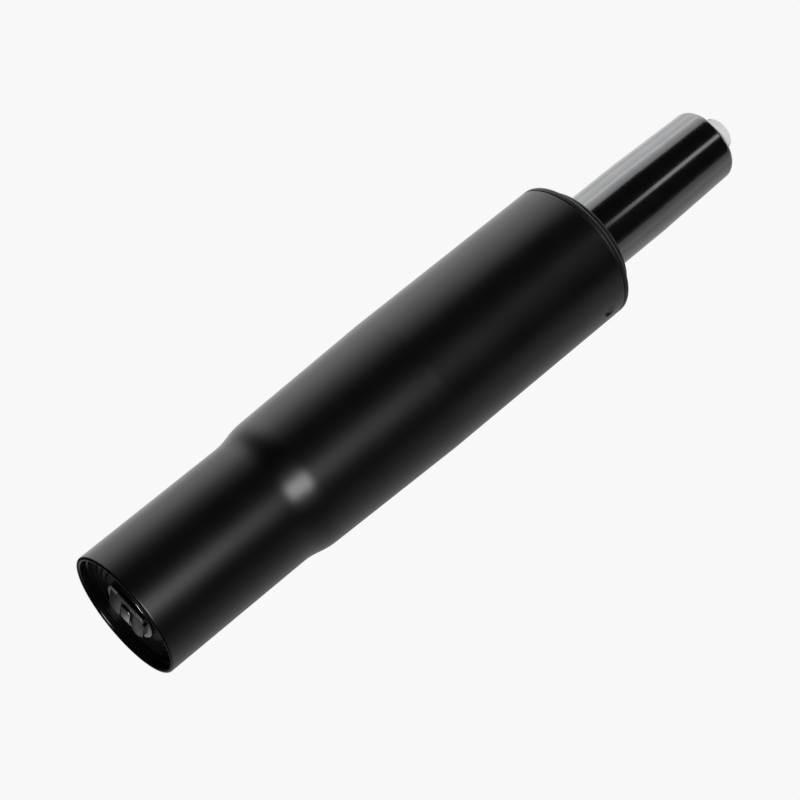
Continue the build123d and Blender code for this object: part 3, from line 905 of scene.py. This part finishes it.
# %% [markdown]
# ## Surroundings
# Black gloss shows nothing but what is round it, so the studio's walls matter more than
# its lamps. The photographer stood in the dark, which keeps the front of the lift black.
# A bright wall stands on the left and a dim one on the right, and they give the pale
# edges. Both fade in slowly round the lift and end near the ground. Far behind and low
# down is a dim patch for the recess in the foot to mirror. The world shader
# draws all of this by compass direction, zero at the front. The camera itself, and any
# glass, sees one pale tone everywhere.

# %% Walls
PALE = 0.939
DARK_FRONT = 0.01
LEFT_WALL = 1.17
RIGHT_WALL = 0.45
GROUND_BEHIND = 0.03
LEFT_TURN = (math.radians(51), math.radians(107))
RIGHT_TURN = (math.radians(51), math.radians(127))
LEFT_END = (-0.02, 0.14)
RIGHT_END = (-0.5, -0.2)

world = bpy.data.worlds.new("studio")
bpy.context.scene.world = world
world.use_nodes = True
studio = Graph(world.node_tree)
direction = studio.node("TexCoord")
across = studio.dot(direction, (1, 0, 0))
frontward = studio.dot(direction, (0, -1, 0))
height = studio.dot(direction, (0, 0, 1))
compass = across.math("ARCTAN2", across, frontward)
left_wall = studio.ramp(-1 * compass, *LEFT_TURN) * studio.ramp(height, *LEFT_END)
right_wall = studio.ramp(compass, *RIGHT_TURN) * studio.ramp(height, *RIGHT_END)
behind = studio.ramp(-1 * frontward, 0.6, 0.85) * (1 - studio.ramp(height, -0.2, -0.05))
walls = DARK_FRONT + LEFT_WALL * left_wall + RIGHT_WALL * right_wall + GROUND_BEHIND * behind
seen_by_camera = studio.node("LightPath", output=0)
seen_by_glass = studio.node("LightPath", output=6)
plain = seen_by_camera.math("MAXIMUM", seen_by_camera, seen_by_glass)
background = studio.node("Background", Color=studio.mix(plain, walls, grey(PALE)))
studio.node("OutputWorld", Surface=background)

# %% [markdown]
# ## Lamps
# A strong softbox low in front draws the soft band down the column and the two
# blots on the neck. A narrow, weak one higher up draws the thin line on the stem. A broad
# one on the left lifts that wall. Two cards stand high and near, so the stem mirrors them
# and the foot hardly does. One lamp overhead gives the floor its light.

# %% Lamps
LAMP_CENTRE = Vector((0, 0, 120 * MM))


def softbox(name, compass_angle, rise, distance, width, height, radiance):
    """A rectangular lamp that faces the lift. Compass angle 0 is the front, 90 the right."""
    lamp = bpy.data.lights.new(name, "AREA")
    lamp.shape = "RECTANGLE"
    lamp.size, lamp.size_y = width, height
    lamp.energy = radiance * math.pi * width * height
    made = bpy.data.objects.new(name, lamp)
    bpy.context.scene.collection.objects.link(made)
    a, e = math.radians(compass_angle), math.radians(rise)
    outward = Vector((math.sin(a) * math.cos(e), -math.cos(a) * math.cos(e), math.sin(e)))
    made.location = LAMP_CENTRE + outward * distance
    made.rotation_mode = "QUATERNION"
    made.rotation_quaternion = outward.to_track_quat("Z", "Y")
    made.visible_camera = False
    print(name, "gives", round(lamp.energy, 2), "watts")


# Name, compass angle, rise, distance, width, height and radiance.
LAMPS = (
    ("key", 14.8, -9.0, 2.0, 0.81, 1.16, 10.0),
    ("line", 5.5, 43, 1.2, 0.16, 0.44, 0.9),
    ("left_glow", -100, 32, 1.6, 1.0, 1.4, 0.4),
    ("left_card", -72, 38.7, 1.15, 0.55, 0.72, 0.62),
    ("right_card", 82, 38.7, 1.15, 0.55, 0.72, 0.15),
    ("overhead", 0, 88, 1.6, 1.2, 1.2, 1.0),
)
for lamp_values in LAMPS:
    softbox(*lamp_values)

# %% [markdown]
# ## Floor
# The lift stands on a pale floor that only the camera sees, and only from above: from
# below it is clear, as the photograph looks up from under the foot. Away from the lift it
# melts into the background. It keeps the lift's shadow.

# %% Floor
FLOOR_R = 1.4
FLOOR_FADE = (0.25, 1.1)
FLOOR_COLOUR = 0.6
FLOOR_GLOW = 0.535

floor_mesh = bmesh.new()
bmesh.ops.create_circle(floor_mesh, cap_ends=True, segments=96, radius=FLOOR_R)
floor_data = bpy.data.meshes.new("floor")
floor_mesh.to_mesh(floor_data)
floor_mesh.free()
floor = bpy.data.objects.new("floor", floor_data)
bpy.context.scene.collection.objects.link(floor)
floor.visible_shadow = False
floor.visible_diffuse = False
floor.visible_glossy = False
floor.visible_transmission = False

floor_material = bpy.data.materials.new("pale_floor")
floor_material.use_nodes = True
ground = Graph(floor_material.node_tree)
spot = ground.node("TexCoord", output=3)
distance = ground.node("VectorMath", {"operation": "LENGTH"}, 1, s0=spot)
near = 1 - ground.ramp(distance, *FLOOR_FADE)
grain = ground.node("TexNoise", Vector=spot, Scale=60.0)
tone = ground.mix(grain, grey(0.97 * FLOOR_COLOUR), grey(1.03 * FLOOR_COLOUR))
matt = ground.node("BsdfDiffuse", Color=tone)
glow = ground.node("Emission", Strength=FLOOR_GLOW)
lit = ground.node("AddShader", s0=matt, s1=glow)
clear = ground.node("BsdfTransparent")
from_below = ground.node("NewGeometry", output=6)
shown = near * (1 - from_below)
ground.node("OutputMaterial", Surface=ground.node("MixShader", Fac=shown, s1=clear, s2=lit))
floor_data.materials.append(floor_material)

# %% View settings
bpy.context.scene.view_settings.view_transform = "Standard"
